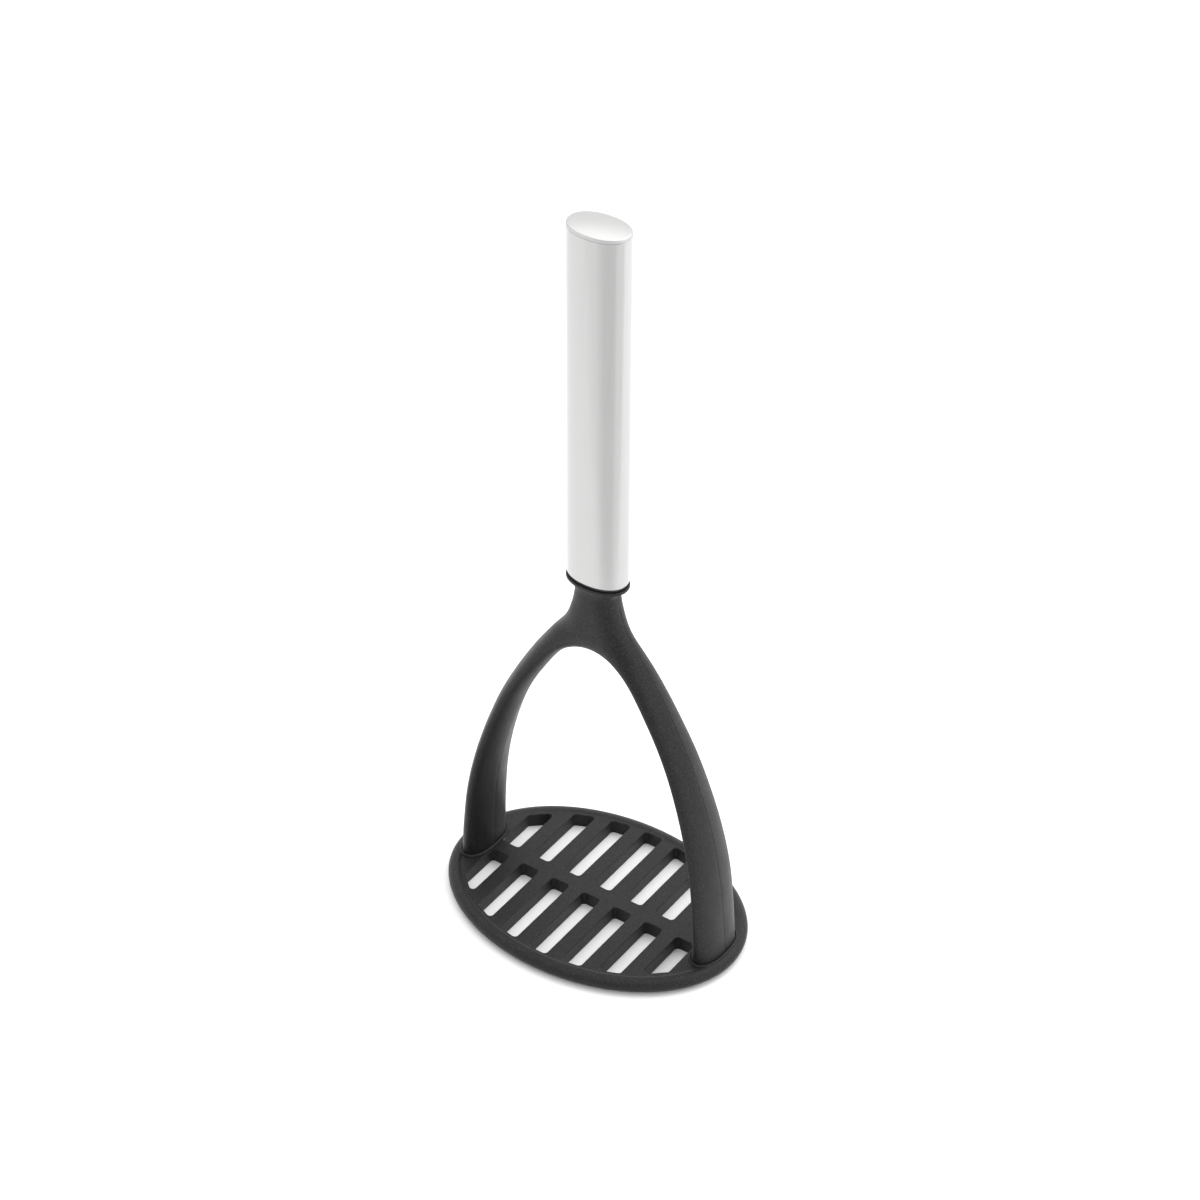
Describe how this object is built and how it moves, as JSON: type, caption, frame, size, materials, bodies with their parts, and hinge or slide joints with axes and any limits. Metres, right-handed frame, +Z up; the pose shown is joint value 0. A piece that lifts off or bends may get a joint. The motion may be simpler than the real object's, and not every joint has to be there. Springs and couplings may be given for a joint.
{
  "type": "potato masher",
  "caption": "Hand potato masher: oval steel handle tube on a black nylon yoke with two arched arms standing on a flat oval plate with two rows of straight slots.",
  "frame": {"origin": "centre of the mashing plate's underside, on the surface that the masher stands on", "axes": "+Z up along the handle, X along the plate's long axis and through both arms, Y along the slots"},
  "size_m": [0.116, 0.0832, 0.28],
  "materials": {
    "brushed_stainless": "fine brushed along the handle, satin",
    "black_nylon": "moulded glass-filled nylon, fine matte grain",
    "seal_rubber": "smooth matte",
    "plug_nylon": "moulded, unfinished",
    "spring_steel": "plain drawn wire"
  },
  "bodies": {
    "root": {"mashing_plate": "black_nylon", "yoke": "black_nylon", "collar_seal": "seal_rubber", "handle_plug": "plug_nylon", "handle_tube": "brushed_stainless", "handle_end_cap": "brushed_stainless", "tang_pin_lower": "spring_steel", "tang_pin_upper": "spring_steel"}
  },
  "joints": []
}
